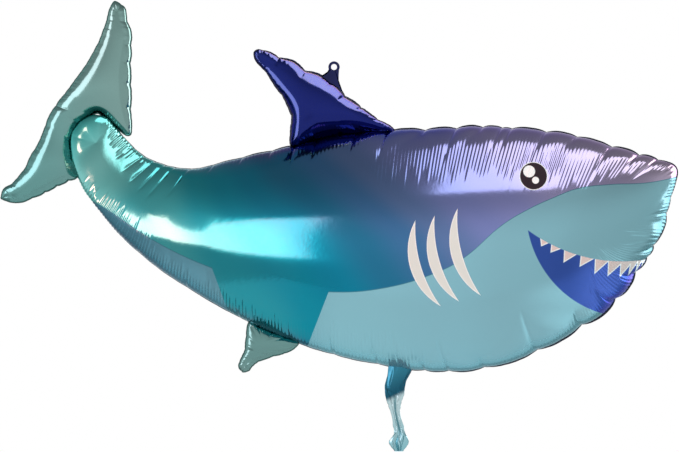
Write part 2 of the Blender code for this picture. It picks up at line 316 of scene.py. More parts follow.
# The inflation neck: x, z, half its width and half its depth, from the body down.
NECK_SECTIONS = (
    (-12, -192, 20, 9),
    (-15, -206, 17.7, 9),
    (-20, -218, 15.5, 8),
    (-22, -227, 15, 7.5),
    (-22, -239, 12.7, 7),
    (-22.7, -252, 7.3, 5.5),
    (-21.5, -264, 5.4, 4.5),
    (-18.4, -278, 5.4, 4.5),
    (-15, -293, 5.8, 4.5),
    (-14.2, -303, 10.4, 6),
    (-16, -312, 11.5, 7),
    (-15.7, -321, 9, 6),
    (-15.7, -326, 5, 3.5),
)
# Its folds: how many there are, how far they turn in radians over a metre, and how high they are.
NECK_FOLDS = ((3, 12, 0.34), (5, -20, 0.22))
# How far the folds sway, how often over a metre, how much of their height they have at the top, and where
# they rise.
FOLD_SWAY, SWAY_RATE, TOP_FOLDS, FOLD_RISE = 0.6, 70, 0.12, (35 * MM, 60 * MM)
# The dents across it: how far down they are, and how much they tilt.
NECK_DENTS = ((22, 0.2), (33, -0.2), (46, 0.5), (60, -0.4), (103, -0.5))
DENT_DEPTH, DENT_WIDTH = 0.08, 1.8 * MM

# The tab's ring runs between two angles in degrees, and its foot lies between the fin's films.
TAB_HOLE_CENTRE, TAB_HOLE_RADIUS, TAB_RING_RADIUS = (-115.2, 264.2), 4.6, 8.8
TAB_RING_ANGLES, TAB_HALF = (-28, 208), 0.3 * MM
TAB_FOOT = (
    (-124, 260), (-127, 253), (-137, 247), (-150, 240), (-120, 214), (-98, 216), (-108, 238), (-108, 252),
)


def ease(value, low, high):
    """0 up to low, 1 from high on, and smooth between them."""
    share = np.clip((value - low) / (high - low), 0, 1)
    return share * share * (3 - 2 * share)


def smooth(points, counts):
    """A smooth curve through the points, with counts[i] steps between point i and the next."""
    slopes = np.zeros_like(points)
    for i in range(1, len(points) - 1):
        before, here, after = points[i - 1 : i + 2]
        if not np.array_equal(before, here) and not np.array_equal(here, after):
            slopes[i] = (after - before) / 2
    stretches = []
    for i, count in enumerate(counts):
        t = (np.arange(count) / count)[:, None]
        stretches.append(
            (2 * t**3 - 3 * t**2 + 1) * points[i]
            + (t**3 - 2 * t**2 + t) * slopes[i]
            + (3 * t**2 - 2 * t**3) * points[i + 1]
            + (t**3 - t**2) * slopes[i + 1]
        )
    return np.concatenate(stretches + [points[-1:]])


def steps_between(points):
    return np.linalg.norm(np.diff(points, axis=0), axis=-1)


def running_length(points):
    """How far along a chain of points each of them lies."""
    return np.concatenate([[0], np.cumsum(steps_between(points))])


def merged(points):
    """The different points of a grid, and for each place of the grid the number of its point."""
    flat = np.round(points.reshape(-1, points.shape[-1]), 8)
    different, numbers = np.unique(flat, axis=0, return_inverse=True)
    return different, numbers.reshape(points.shape[:-1])


def cell_corners(grid):
    """What a grid has at the four corners of each of its cells, in turn round the cell."""
    return grid[:-1, :-1], grid[1:, :-1], grid[1:, 1:], grid[:-1, 1:]


def unit(vectors):
    return vectors / np.maximum(np.linalg.norm(vectors, axis=-1, keepdims=True), 1e-12)


def corner_weights(points, triangles):
    """For each triangle corner, the two points opposite it, and half the cotangent of its angle."""
    corners = points[triangles]
    sides = np.roll(corners, 1, axis=1) - np.roll(corners, -1, axis=1)
    twice_area = np.abs(sides[:, 0, 0] * sides[:, 1, 1] - sides[:, 0, 1] * sides[:, 1, 0])
    products = (np.roll(sides, -1, axis=1) * np.roll(sides, 1, axis=1)).sum(axis=2)
    weights = -products / twice_area[:, None] / 2
    starts, ends = np.roll(triangles, -1, axis=1), np.roll(triangles, 1, axis=1)
    return starts.T.ravel(), ends.T.ravel(), weights.T.ravel(), twice_area / 2


def membrane(flat, accuracy=1e-10):
    """How far a membrane stretched over the outline sags under an even load, for each place of the grid.

    The grid's first and last columns are the outline. The equations are solved by conjugate gradients.
    """
    points, numbers = merged(flat)
    a, b, c, d = (corner.ravel() for corner in cell_corners(numbers))
    triangles = np.concatenate([np.stack([a, b, c], 1), np.stack([a, c, d], 1)])
    triangles = triangles[(triangles != np.roll(triangles, 1, axis=1)).all(axis=1)]
    starts, ends, weights, areas = corner_weights(points, triangles)
    count = len(points)
    held = np.zeros(count, bool)
    held[numbers[:, [0, -1]]] = True
    load = np.bincount(triangles.ravel(), np.repeat(areas / 3, 3), count)
    diagonal = np.bincount(starts, weights, count) + np.bincount(ends, weights, count)

    def pull(sag):
        result = diagonal * sag
        result -= np.bincount(starts, weights * sag[ends], count)
        result -= np.bincount(ends, weights * sag[starts], count)
        result[held] = 0
        return result

    easing = np.where(held, 0, 1 / diagonal)
    sag, rest = np.zeros(count), np.where(held, 0, load)
    search = easing * rest
    size = rest @ search
    enough = size * accuracy
    while size > enough:
        pulled = pull(search)
        step = size / (search @ pulled)
        sag += step * search
        rest -= step * pulled
        eased = easing * rest
        last_size, size = size, rest @ eased
        search = eased + size / last_size * search
    return np.maximum(sag, 0)[numbers]


class Chamber:
    """The film of one side of a chamber, before it is puckered.

    Of each place of the grid, flat is its x and z, height how far it stands off the plane of the seams,
    above whether it lies above the crest, along where its rib's end lies on the weld line, clockwise from the
    first rib, inward how far it lies from there over the film, rib_length how far the crest does, and pattern
    its place when the rib is rolled out flat. rear is how much fuller the chamber is towards the tail, and
    how much of its fullness lies below the crest there.
    """

    def __init__(self, table, spacing, arc_steps, half_thickness, flatness, rear=(0.0, 0.0)):
        rows = np.array(table, float) * MM
        tops, spines, bottoms = rows[:, 0:2], rows[:, 2:4], rows[:, 4:6]
        widest = np.maximum(steps_between(tops), steps_between(bottoms))
        counts = np.ceil(widest / spacing).astype(int)
        tops, spines, bottoms = (smooth(column, counts) for column in (tops, spines, bottoms))
        share = np.cos(np.linspace(0, math.pi / 2, arc_steps + 1))[None, :, None]
        upper = spines[:, None] + (tops - spines)[:, None] * share
        lower = spines[:, None] + (bottoms - spines)[:, None] * share
        self.flat = np.concatenate([upper, lower[:, -2::-1]], axis=1)
        self.above = np.broadcast_to(np.arange(self.flat.shape[1]) <= arc_steps, self.flat.shape[:2])
        self.tops, self.bottoms = tops, bottoms
        self.top_run, self.bottom_run = running_length(tops), running_length(bottoms)
        self.seam_length = self.top_run[-1] + self.bottom_run[-1]
        self.along = np.where(self.above, self.top_run[:, None], self.seam_length - self.bottom_run[:, None])
        off_crest = np.concatenate([share[0, :, 0], -share[0, -2::-1, 0]])
        self.height = self.filled(arc_steps, off_crest, flatness, *rear)
        self.height *= half_thickness / self.height.max()
        run = np.linalg.norm(np.diff(self.places(), axis=1), axis=2)
        from_top = np.pad(np.cumsum(run, axis=1), ((0, 0), (1, 0)))
        to_crest, whole = from_top[:, arc_steps : arc_steps + 1], from_top[:, -1:]
        self.inward = np.where(self.above, from_top, whole - from_top)
        self.rib_length = np.where(self.above, to_crest, whole - to_crest)
        self.pattern = self.flat_pattern(spines)

    def filled(self, arc_steps, off_crest, flatness, rear_fullness, rear_sag):
        """The height of each place, up to a scale. off_crest is 0 at the crest and 1 or -1 at a weld line."""
        x = self.flat[..., 0]
        height = np.sqrt(2 * membrane(self.flat))
        crest = height[:, arc_steps : arc_steps + 1]
        places, above, below = np.array(flatness).T
        above, below = (np.interp(x, places * MM, powers) for powers in (above, below))
        height = crest * (height / np.maximum(crest, 1e-9)) ** np.where(self.above, above, below)
        height *= 1 + rear_fullness * np.clip((REAR_X - x) / REAR_LENGTH, 0, 1) ** REAR_POWER
        off_crest = off_crest * ease(self.top_run, 0, TIP_LENGTH)[:, None]
        return height * (1 - rear_sag * ease(-x, *SAG_ZONE) * off_crest)

    def flat_pattern(self, spines):
        ends = np.where(self.above[..., None], self.tops[:, None], self.bottoms[:, None])
        outward = unit(ends - spines[:, None])
        return spines[:, None] + outward * (self.rib_length - self.inward)[..., None]

    def seam_place(self, x, z):
        """How far along the weld line the place nearest to this x and z lies."""
        line = np.concatenate([self.tops, self.bottoms[::-1]])
        runs = np.concatenate([self.top_run, self.seam_length - self.bottom_run[::-1]])
        away = np.hypot(line[:, 0] - x * MM, line[:, 1] - z * MM)
        return runs[np.argmin(away)] % self.seam_length

    def by_seam(self, table):
        """The columns of a table, in order along the weld line, with x and z as the place along it."""
        rows = ((self.seam_place(x, z), *(value * MM for value in row)) for x, z, *row in table)
        return np.array(sorted(rows)).T

    def places(self):
        """The film's places in space, on the left side."""
        return np.stack([self.flat[..., 0], self.height, self.flat[..., 1]], axis=-1)

    def normals(self):
        """The directions that face away from the chamber, on the left side."""
        down, across = np.gradient(self.places(), axis=(0, 1))
        normal = unit(np.cross(across, down))
        return normal * np.sign(normal[..., 1].sum())


class Pleats:
    """Lobes of film side by side along a weld line, with a crease between each two.

    edges: where the creases are along the weld line. rises: how high each lobe stands. ends: how far in
    from the weld line it has died away. line: how much deeper the crease itself is.
    """

    # A crease's width and where it is deep, the power of a lobe's dome, and where both start to fade.
    crease_width, crease_start = 2.3 * MM, 20 * MM
    dome_power = 2.4
    lobe_fade, crease_fade = 0.45, 0.75

    def __init__(self, seam_length, edges, rises, ends, line=0.0):
        self.seam_length = seam_length
        self.edges = np.append(edges, edges[0] + seam_length)
        self.rises, self.ends, self.line = rises, ends, line

    def relief(self, run, inward):
        """How far the film stands out at each place."""
        run = self.edges[0] + np.mod(run - self.edges[0], self.seam_length)
        lobe = np.clip(np.searchsorted(self.edges, run, side="right") - 1, 0, len(self.rises) - 1)
        after = (lobe + 1) % len(self.rises)
        width = self.edges[lobe + 1] - self.edges[lobe]
        share = (run - self.edges[lobe]) / width
        ends = self.ends[lobe] + share * (self.ends[after] - self.ends[lobe])
        dome = 1 - np.abs(2 * share - 1) ** self.dome_power
        from_edge = np.minimum(share, 1 - share) * width
        cut = np.exp(-from_edge / self.crease_width) * ease(inward, 0, self.crease_start)
        lobes = self.rises[lobe] * dome * (1 - ease(inward, self.lobe_fade * ends, ends))
        return lobes - self.line * cut * (1 - ease(inward, self.crease_fade * ends, ends))


class Ripples:
    """Fine ripples of about one pitch, between a start and an end that change along the weld line."""

    # Where they fade in, as shares of the start, and where they begin to fade out, as a share of the end.
    fade_in, fade_out = (0.7, 1.3), 0.8

    def __init__(self, chamber, seed, pitch, table):
        self.places, self.starts, self.ends, self.rises = chamber.by_seam(table)
        self.seam_length = chamber.seam_length
        random = np.random.default_rng(seed)
        count = round(chamber.seam_length / pitch)
        self.edges = np.cumsum(random.uniform(*RIPPLE_WIDTHS, count))
        self.edges *= chamber.seam_length / self.edges[-1]
        self.shifts = random.uniform(*RIPPLE_WIDTHS, (2, count))
        self.strengths = random.uniform(*RIPPLE_RISES, count)

    def relief(self, run, inward):
        run = np.mod(run, self.seam_length)
        number = np.minimum(np.searchsorted(self.edges, run), len(self.edges) - 1)
        first = np.where(number > 0, self.edges[number - 1], 0)
        share = (run - first) / (self.edges[number] - first)
        start = np.interp(run, self.places, self.starts) * self.shifts[0, number]
        end = np.interp(run, self.places, self.ends) * self.shifts[1, number]
        rise = np.interp(run, self.places, self.rises) * self.strengths[number]
        low, high = self.fade_in
        shown = ease(inward, low * start, high * start) * (1 - ease(inward, self.fade_out * end, end))
        return rise * np.sin(np.pi * share) ** 2 * shown


def table_pleats(chamber, creases, line):
    """The pleats of a table of creases."""
    edges, ends, rises = chamber.by_seam(creases)
    return Pleats(chamber.seam_length, edges, rises, ends, line)


def even_pleats(chamber, seed, pitch, rise, end):
    """Pleats of about one width all along the weld line, each a little different."""
    random = np.random.default_rng(seed)
    count = max(3, round(chamber.seam_length / pitch))
    widths = random.uniform(*PLEAT_WIDTHS, count)
    edges = np.concatenate([[0], np.cumsum(widths)[:-1]]) / widths.sum() * chamber.seam_length
    rises = rise * random.uniform(*PLEAT_RISES, count)
    ends = end * random.uniform(*PLEAT_REACHES, count)
    return Pleats(chamber.seam_length, edges, rises, ends)


def film_mesh(name, place, pattern, side):
    """A mesh of a grid's faces, with the flat pattern as its UV map.

    The right side mirrors the left one, and the corners of its faces run the other way round.
    """
    points, numbers = merged(place * (1, side, 1))
    faces = np.stack([corner.ravel() for corner in cell_corners(numbers)[::side]], axis=1)
    spots = np.stack([corner.reshape(-1, 2) for corner in cell_corners(pattern)[::side]], axis=1)
    kept, kept_spots = [], []
    for face, face_spots in zip(faces.tolist(), spots):
        own = [k for k in range(4) if face[k] != face[k - 1]]
        if len({face[k] for k in own}) > 2:
            kept.append([face[k] for k in own])
            kept_spots.append(face_spots[own])
    mesh = bpy.data.meshes.new(name)
    mesh.from_pydata(points, [], kept)
    layer = mesh.uv_layers.new(name="OFBake")
    spots = np.concatenate(kept_spots)
    spots = (spots - spots.min(axis=0)) / np.ptp(spots, axis=0).max()
    margin = 0.01
    spots = margin + (1 - 2 * margin) * spots
    layer.uv.foreach_set("vector", spots.astype(np.float32).ravel())
    mesh.shade_smooth()
    return mesh


def placed(name, data):
    """Puts a mesh or a camera in the scene."""
    thing = bpy.data.objects.new(name, data)
    bpy.context.scene.collection.objects.link(thing)
    return thing


def add_piece(name, mesh, material, slot, *replaced):
    """Puts a piece in the scene, in place of the solids it stands for."""
    piece = placed(name, mesh)
    mesh.materials.append(material)
    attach(piece, "root")
    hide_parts(*replaced)


def give(tree, given, value):
    """Gives a node's input a field, another node's output, a colour or a number."""
    if isinstance(value, Field):
        value = value.socket
    if isinstance(value, bpy.types.NodeSocket):
        tree.links.new(value, given)
    else:
        given.default_value = (*value, 1) if isinstance(value, tuple) else value


def add_node(tree, kind, inputs, **settings):
    """A node of this kind with its settings, and its inputs by name or number."""
    node = tree.nodes.new(f"ShaderNode{kind}")
    for name, value in settings.items():
        setattr(node, name, value)
    for name, value in inputs.items():
        give(tree, node.inputs[name], value)
    return node


def arithmetic(operation):
    """A method of a field that adds a Math node for this operation."""

    def method(field, *others):
        inputs = dict(enumerate((field, *others)))
        return Field(field.tree, add_node(field.tree, "Math", inputs, operation=operation).outputs[0])

    return method


class Field:
    """A number that varies over a surface. Arithmetic on it adds Math nodes to the material."""

    def __init__(self, tree, socket):
        self.tree, self.socket = tree, socket

    def __rsub__(self, other):
        return (self * -1) + other

    __add__ = __radd__ = arithmetic("ADD")
    __sub__ = arithmetic("SUBTRACT")
    __mul__ = __rmul__ = arithmetic("MULTIPLY")
    __truediv__ = arithmetic("DIVIDE")
    least = arithmetic("MINIMUM")
    most = arithmetic("MAXIMUM")
    size = arithmetic("ABSOLUTE")
    root = arithmetic("SQRT")

    def ramp(self, low, high):
        """0 below low, 1 above high, and smooth between them. high may be the lower one."""
        inputs = {"Value": self, "From Min": min(low, high), "From Max": max(low, high)}
        inputs |= {"To Min": float(high < low), "To Max": float(low < high)}
        node = add_node(self.tree, "MapRange", inputs, interpolation_type="SMOOTHSTEP")
        return Field(self.tree, node.outputs["Result"])

    def curve(self, points):
        """The height of a smooth line through the points at this place."""
        low = points[0][0]
        reach = points[-1][0] - low
        node = add_node(self.tree, "FloatCurve", {"Value": (self - low) / reach})
        line = node.mapping.curves[0]
        for k, (x, z) in enumerate(points):
            place = ((x - low) / reach, (z - low) / reach)
            if k < 2:
                line.points[k].location = place
            else:
                line.points.new(*place)
        node.mapping.update()
        return Field(self.tree, node.outputs["Value"]) * reach + low


def coordinate(tree, kind):
    """The socket of a texture coordinate, and its x, y and z as fields."""
    socket = add_node(tree, "TexCoord", {}).outputs[kind]
    parts = add_node(tree, "SeparateXYZ", {0: socket})
    return socket, [Field(tree, part) for part in parts.outputs]


def new_material(name):
    material = bpy.data.materials.new(name)
    material.use_nodes = True
    return material, material.node_tree


class Foil:
    """A printed foil while it is being put together. Its x and z are in millimetres."""

    def __init__(self, name):
        self.material, self.tree = new_material(name)
        self.shader = self.tree.nodes["Principled BSDF"]
        self.set("Coat Weight", COAT)
        self.set("Coat Roughness", COAT_ROUGHNESS)
        self.place, (x, _, z) = coordinate(self.tree, "Object")
        self.x, self.z = x * (1 / MM), z * (1 / MM)

    def from_point(self, x, z):
        """The distance in the side view to a point, in millimetres."""
        across, up = self.x - x, self.z - z
        return (across * across + up * up).root()

    def colours(self, field, stops):
        """A colour that follows a field through the stops, each a position in millimetres and a colour."""
        low, high = stops[0][0], stops[-1][0]
        node = add_node(self.tree, "ValToRGB", {"Fac": (field - low) / (high - low)})
        ramp = node.color_ramp
        ramp.interpolation = "EASE"
        while len(ramp.elements) < len(stops):
            ramp.elements.new(0.5)
        for element, (position, colour) in zip(ramp.elements, stops):
            element.position = (position - low) / (high - low)
            element.color = (*colour, 1)
        return node.outputs["Color"]

    def mix(self, below, above, share):
        """The colour above over the colour below, each a socket or a plain colour."""
        return add_node(self.tree, "Mix", {0: share, 6: below, 7: above}, data_type="RGBA").outputs[2]

    def noise(self, scale, detail=2.0):
        inputs = {"Scale": scale, "Detail": detail, "Vector": self.place}
        return Field(self.tree, add_node(self.tree, "TexNoise", inputs).outputs["Fac"])

    def grain(self, scale, detail, height):
        """Makes the surface uneven, by up to a height in metres."""
        inputs = {"Strength": 1, "Distance": 1, "Height": self.noise(scale, detail) * height}
        self.set("Normal", add_node(self.tree, "Bump", inputs).outputs["Normal"])

    def finish(self, colour, metallic, roughness):
        self.set("Base Color", colour)
        self.set("Specular Tint", colour)
        self.set("Metallic", metallic)
        self.set("Roughness", roughness)
        return self.material

    def set(self, name, value):
        give(self.tree, self.shader.inputs[name], value)


# Ink colours, as linear red, green and blue, at places along the body.
BACK_INKS = (
    (-560, (0.05, 0.40, 0.38)),
    (-470, (0.20, 0.55, 0.52)),
    (-430, (0.14, 0.47, 0.45)),
    (-370, (0.06, 0.39, 0.41)),
    (-300, (0.012, 0.31, 0.38)),
    (-230, (0.003, 0.265, 0.365)),
    (-150, (0.002, 0.21, 0.33)),
    (-77, (0.015, 0.155, 0.28)),
    (0, (0.05, 0.155, 0.33)),
    (60, (0.11, 0.18, 0.37)),
    (140, (0.19, 0.22, 0.48)),
    (220, (0.23, 0.24, 0.50)),
    (320, (0.33, 0.30, 0.52)),
    (560, (0.45, 0.38, 0.50)),
)
BELLY_INKS = (
    (-560, (0.05, 0.19, 0.26)),
    (-430, (0.06, 0.22, 0.30)),
    (-350, (0.10, 0.31, 0.40)),
    (-240, (0.13, 0.35, 0.43)),
    (-100, (0.21, 0.51, 0.59)),
    (60, (0.20, 0.47, 0.55)),
    (160, (0.19, 0.43, 0.50)),
    (420, (0.17, 0.37, 0.42)),
)
MOUTH_INK, MOUTH_FRONT_INK, MOUTH_CHANGE = (0.025, 0.07, 0.30), (0.05, 0.115, 0.46), (235, 300)
TOOTH_INK = (0.50, 0.52, 0.50)
GILL_INK = (0.49, 0.68, 0.65)
EYE_INK = (0.025, 0.022, 0.028)
WHITE_INK = (0.66, 0.84, 0.84)
LINE_INK, LINE_HALF, LINE_STRENGTH = (0.05, 0.20, 0.27), 0.6, 0.85
NAVY_INKS = ((-240, (0.007, 0.016, 0.15)), (0, (0.006, 0.013, 0.15)))
NAVY_WELD_INK = (0.004, 0.006, 0.04)
TAB_INK = (0.006, 0.010, 0.08)
SEA_INKS = ((-560, (0.12, 0.30, 0.29)), (-350, (0.19, 0.33, 0.31)), (-290, (0.13, 0.27, 0.26)))
SEA_WELD_INK = (0.06, 0.13, 0.12)
WELD_INK, STEM_WELD_INK, STEM_WELD_CHANGE = (0.008, 0.012, 0.03), (0.08, 0.26, 0.25), (-425, -455)
# The neck's inks, at places down it.
NECK_INKS = (
    (-330, (0.22, 0.48, 0.54)),
    (-236, (0.46, 0.62, 0.65)),
    (-226, (0.001, 0.08, 0.135)),
    (-190, (0.02, 0.17, 0.25)),
)
# The back's bands of colour slant, more above the origin than below it, and the other way on the stem.
SLANT_ABOVE, SLANT_BELOW, SLANT_START = 1.2, 0.7, (-400, -200)
STEM_SLANT, STEM_LEVEL, STEM_START = 0.8, 120, (-350, -430)
# The clear coat, and what it loses ahead of the stem.
COAT, COAT_ROUGHNESS, COAT_LOSS, COAT_CHANGE = 0.35, 0.06, 0.2, (-210, -150)
# How high the metal's fine unevenness is.
FILM_GRAIN, WELD_GRAIN = 0.06 * MM, 0.3 * MM
# The body's finish. Columns: clear ink, opaque ink, and what pale marks add.
METALLIC, ROUGHNESS, SPECULAR = (1.0, 0.7, -0.7), (0.13, 0.2, 0.3), (0.5, 0.2, -0.1)
OPAQUE_COAT, MARK_COAT = 0.1, -0.1

# The edge between the back's colour and the belly's, from the tail to the nose, x and z.
BELLY_EDGE = (
    (-560, 90), (-474, 52), (-389, -3), (-301, -44), (-212, -70), (-123, -80), (-45, -75), (41, -50),
    (79, -30), (142, 23), (181, 46), (216, 62), (256, 77), (304, 83), (363, 86), (410, 95),
)
# Between two cuts the belly has the back's sea green: x and z of the top and of the bottom of each cut.
REAR_CUT = ((-301, -44), (-264, -148.5))
FRONT_CUT = ((-123, -79), (-163, -182.4))
# Gill slits: x and z of the top tip and of the bottom tip, and the bulges of their rear and front edges.
GILLS = (((8, 28), (46, -101)), ((37, 35), (74, -94)), ((72, 46), (107, -85)))
GILL_REAR, GILL_FRONT = 27.5, 11.5
EYE_CENTRE, EYE_RADIUS, EYE_RING = (188, 96), 20.5, 1.0
EYE_LIGHTS = (((181.5, 103), 9), ((191, 89.5), 5.3))
# The mouth lies below one circle and inside another: x and z of the centre and the radius.
MOUTH_ROOF = ((325, 214), 248)
MOUTH_FLOOR = ((340, 44), 164)
# Teeth: x and z where the rear edge starts, and x and z of the tip. The front edge runs from the tip to where
# the next tooth starts.
TEETH = (
    (198, 3, 199.5, -10),
    (215.5, -3, 214, -19.5),
    (235, -12, 234, -34.5),
    (261, -18, 258.8, -41),
    (282.5, -28, 282, -51.6),
    (303, -33, 302.7, -55),
    (322.5, -38, 322, -56.4),
    (338, -38.5, 335.5, -54),
    (350, -34, 347, -49),
    (360, -27, 357, -40),
    (370, -18, 370, -18),
)
TOOTH_RIM, GILL_RIM = 0.7, 1.0
SOFT_EDGE = 0.5


def within(distance):
    """1 where a signed distance in millimetres is below 0, with a fine soft edge."""
    return distance.ramp(SOFT_EDGE, -SOFT_EDGE)


def arc_side(foil, tip, foot, bulge):
    """The signed distance to a circle through two points whose arc bulges out towards -X."""
    middle = ((tip[0] + foot[0]) / 2, (tip[1] + foot[1]) / 2)
    half = math.dist(tip, foot) / 2
    radius = (half**2 + bulge**2) / (2 * bulge)
    run = ((tip[0] - foot[0]) / (2 * half), (tip[1] - foot[1]) / (2 * half))
    back = radius - bulge
    centre = (middle[0] + run[1] * back, middle[1] - run[0] * back)
    return foil.from_point(*centre) - radius


def nearest(distances):
    """The signed distance to the nearest of several shapes."""
    return functools.reduce(Field.least, distances)


def gill_marks(foil):
    """The signed distance to the gill slits, each inside one circle and outside another."""
    return nearest(
        arc_side(foil, tip, foot, GILL_REAR).most(arc_side(foil, tip, foot, GILL_FRONT) * -1)
        for tip, foot in GILLS
    )


def beside(foil, start, end):
    """How far a place lies to the left of the line from start to end."""
    length = math.dist(start, end)
    across, up = (end[0] - start[0]) / length, (end[1] - start[1]) / length
    return (foil.z - start[1]) * across - (foil.x - start[0]) * up


def tooth_marks(foil):
    """The signed distance to the teeth, which stand side by side."""
    return nearest(
        (beside(foil, rear, tip) * -1).most(beside(foil, tip, front) * -1)
        for (*rear, _, _), (_, _, *tip), (*front, _, _) in zip(TEETH, TEETH, TEETH[1:])
    )


def body_foil():
    """The body's print: a gradient on the back, a pale belly, gills, an eye and a mouth with teeth."""
    foil = Foil("body_print")
    down_stem = (STEM_LEVEL - foil.z) * foil.x.ramp(*STEM_START) * STEM_SLANT
    slant = (foil.z * SLANT_ABOVE).most(foil.z * SLANT_BELOW) * foil.x.ramp(*SLANT_START)
    off_edge = foil.z - foil.x.curve(BELLY_EDGE)
    outside_cuts = 1 - within(beside(foil, *FRONT_CUT)) * within(beside(foil, *REAR_CUT) * -1)
    belly = within(off_edge) * outside_cuts
    edge_line = within(off_edge.size() - LINE_HALF) * outside_cuts
    roof, floor = (foil.from_point(*centre) - radius for centre, radius in (MOUTH_ROOF, MOUTH_FLOOR))
    mouth = within((roof * -1).most(floor))
    from_teeth, from_gills, from_eye = tooth_marks(foil), gill_marks(foil), foil.from_point(*EYE_CENTRE)
    teeth, gills = within(from_teeth) * mouth, within(from_gills)
    ring = within(from_eye - EYE_RADIUS - EYE_RING)
    layers = (
        (foil.colours(foil.x, BELLY_INKS), belly),
        (LINE_INK, edge_line * LINE_STRENGTH),
        (foil.mix(MOUTH_INK, MOUTH_FRONT_INK, foil.x.ramp(*MOUTH_CHANGE)), mouth),
        (TOOTH_INK, teeth),
        (WHITE_INK, within(from_teeth.size() - TOOTH_RIM) * mouth),
        (GILL_INK, gills),
        (WHITE_INK, within(from_gills.size() - GILL_RIM) * gills),
        (WHITE_INK, ring),
        (EYE_INK, within(from_eye - EYE_RADIUS)),
        *((WHITE_INK, within(foil.from_point(*centre) - radius)) for centre, radius in EYE_LIGHTS),
    )
    colour = foil.colours(foil.x + slant + down_stem, BACK_INKS)
    for ink, share in layers:
        colour = foil.mix(colour, ink, share)
    opaque = belly.most(mouth).most(gills).most(ring)
    solid = gills.most(ring).most(teeth)
    clear_coat = COAT - foil.x.ramp(*COAT_CHANGE) * COAT_LOSS
    metallic, roughness, specular, coat = (
        opaque * (covered - clear) + clear + solid * step
        for clear, covered, step in (METALLIC, ROUGHNESS, SPECULAR, (clear_coat, OPAQUE_COAT, MARK_COAT))
    )
    foil.set("Coat Weight", coat)
    foil.set("Specular IOR Level", specular)
    foil.grain(130, 2, FILM_GRAIN)
    return foil.finish(colour, metallic, roughness)


def plain_foil(name, stops, roughness, coat=COAT):
    """A fin's foil: one ink that changes a little along the fin."""
    foil = Foil(name)
    foil.set("Coat Weight", coat)
    colour = foil.colours(foil.x + foil.z * 0.3, stops)
    foil.grain(150, 2, FILM_GRAIN)
    return foil.finish(colour, 1.0, roughness)


def neck_foil():
    """The neck's foil: the belly's blue-green at the top, then the bare film's paler grey-green."""
    foil = Foil("neck_print")
    colour = foil.colours(foil.z - foil.x * 0.5, NECK_INKS)
    return foil.finish(colour, 1.0, 0.2)


def solid_foil(name, colour, roughness, stem_colour=None):
    """The foil of the small flat pieces. On the tail's stem it may have a colour of its own."""
    foil = Foil(name)
    darker = tuple(0.7 * part for part in colour)
    ink = foil.mix(darker, colour, foil.noise(60).ramp(0.3, 0.7))
    if stem_colour:
        ink = foil.mix(ink, stem_colour, foil.x.ramp(*STEM_WELD_CHANGE))
    foil.grain(90, 3, WELD_GRAIN)
    return foil.finish(ink, 1.0, roughness)


def raised(chamber, systems, window=60 * MM, chin_lean=0.0):
    """The chamber's film with its pleats, on the left side.

    Each system of pleats comes with its lean: how far they lean towards the tail for each step inward, less
    near the two ends. chin_lean is how much more they do so along the chin.
    """
    along = chamber.along
    past_nose = along - chamber.top_run[-1]
    end = np.minimum(np.minimum(along, chamber.seam_length - along), np.abs(past_nose))
    chin = ease(past_nose, *CHIN_START) * (1 - ease(past_nose, *CHIN_END))
    side = np.where(chamber.above, 1, -1)
    relief = np.zeros_like(along)
    for pleats, lean in systems:
        leaning = (lean * ease(end, 0, window) + chin_lean * chin) * side
        relief += pleats.relief(along + leaning * chamber.inward, chamber.inward)
    relief *= 1 - ease(chamber.inward / chamber.rib_length, *CREST_FADE)
    relief *= 1 - (1 - ease(end, 0, END_LENGTH)) * ease(chamber.inward, *END_FADE)
    place = chamber.places() + chamber.normals() * relief[..., None]
    place[:, [0, -1], 1] = WELD_GAP
    return place


def panel_pieces(name, chamber, place, material, slot):
    for side, word in ((RIGHT, "right"), (LEFT, "left")):
        piece_name = f"{name}_film_{word}"
        mesh = film_mesh(piece_name, place, chamber.pattern, side)
        add_piece(piece_name, mesh, material, slot, f"{name}_panel_{word}")


def weld_piece(name, chamber, place, pleats, widths, material, slot):
    """The flat band outside the weld, as a closed ribbon. It is widest at the middle of each lobe."""
    narrow, wide = widths
    edge = np.concatenate([place[:, 0], place[-2:0:-1, -1]])[:, [0, 2]]
    run = np.concatenate([chamber.along[:, 0], chamber.along[-2:0:-1, -1]])
    lobes = pleats.relief(run, np.zeros_like(run)) / np.maximum(pleats.rises.max(), 1e-9)
    reach = 3
    ahead = np.roll(edge, -reach, axis=0) - np.roll(edge, reach, axis=0)
    outward = unit(np.stack([-ahead[:, 1], ahead[:, 0]], axis=1))
    inner = edge - outward * WELD_LAP
    outer = edge + outward * (narrow + (wide - narrow) * lobes)[:, None]
    mesh = ribbon(name, inner, outer, WELD_HALF)
    add_piece(name, mesh, material, slot, name.replace("_weld", "_seam"))


def ribbon(name, edge, rim, half):
    """A closed flat band between two rings of places in the side view, with half its thickness."""
    rings = ((edge, half), (rim, half), (rim, -half), (edge, -half))
    place = [np.stack([flat[:, 0], np.full(len(flat), y), flat[:, 1]], axis=1) for flat, y in rings]
    return tube(name, np.stack(place), closed=True)


def tube(name, place, closed=False):
    """A mesh of rings of places. Its ends are capped, or joined to each other."""
    ring_count, count = place.shape[:2]
    step = np.arange(count)
    follow = (step + 1) % count
    faces = []
    for ring in range(ring_count if closed else ring_count - 1):
        here, there = ring * count, (ring + 1) % ring_count * count
        loop = (here + step, here + follow, there + follow, there + step)
        faces.extend(np.stack(loop, axis=1).tolist())
    if not closed:
        faces.append(list(range(count))[::-1])
        faces.append(list(range((ring_count - 1) * count, ring_count * count)))
    mesh = bpy.data.meshes.new(name)
    mesh.from_pydata(place.reshape(-1, 3), [], faces)
    if not closed:
        mesh.shade_smooth()
    return mesh


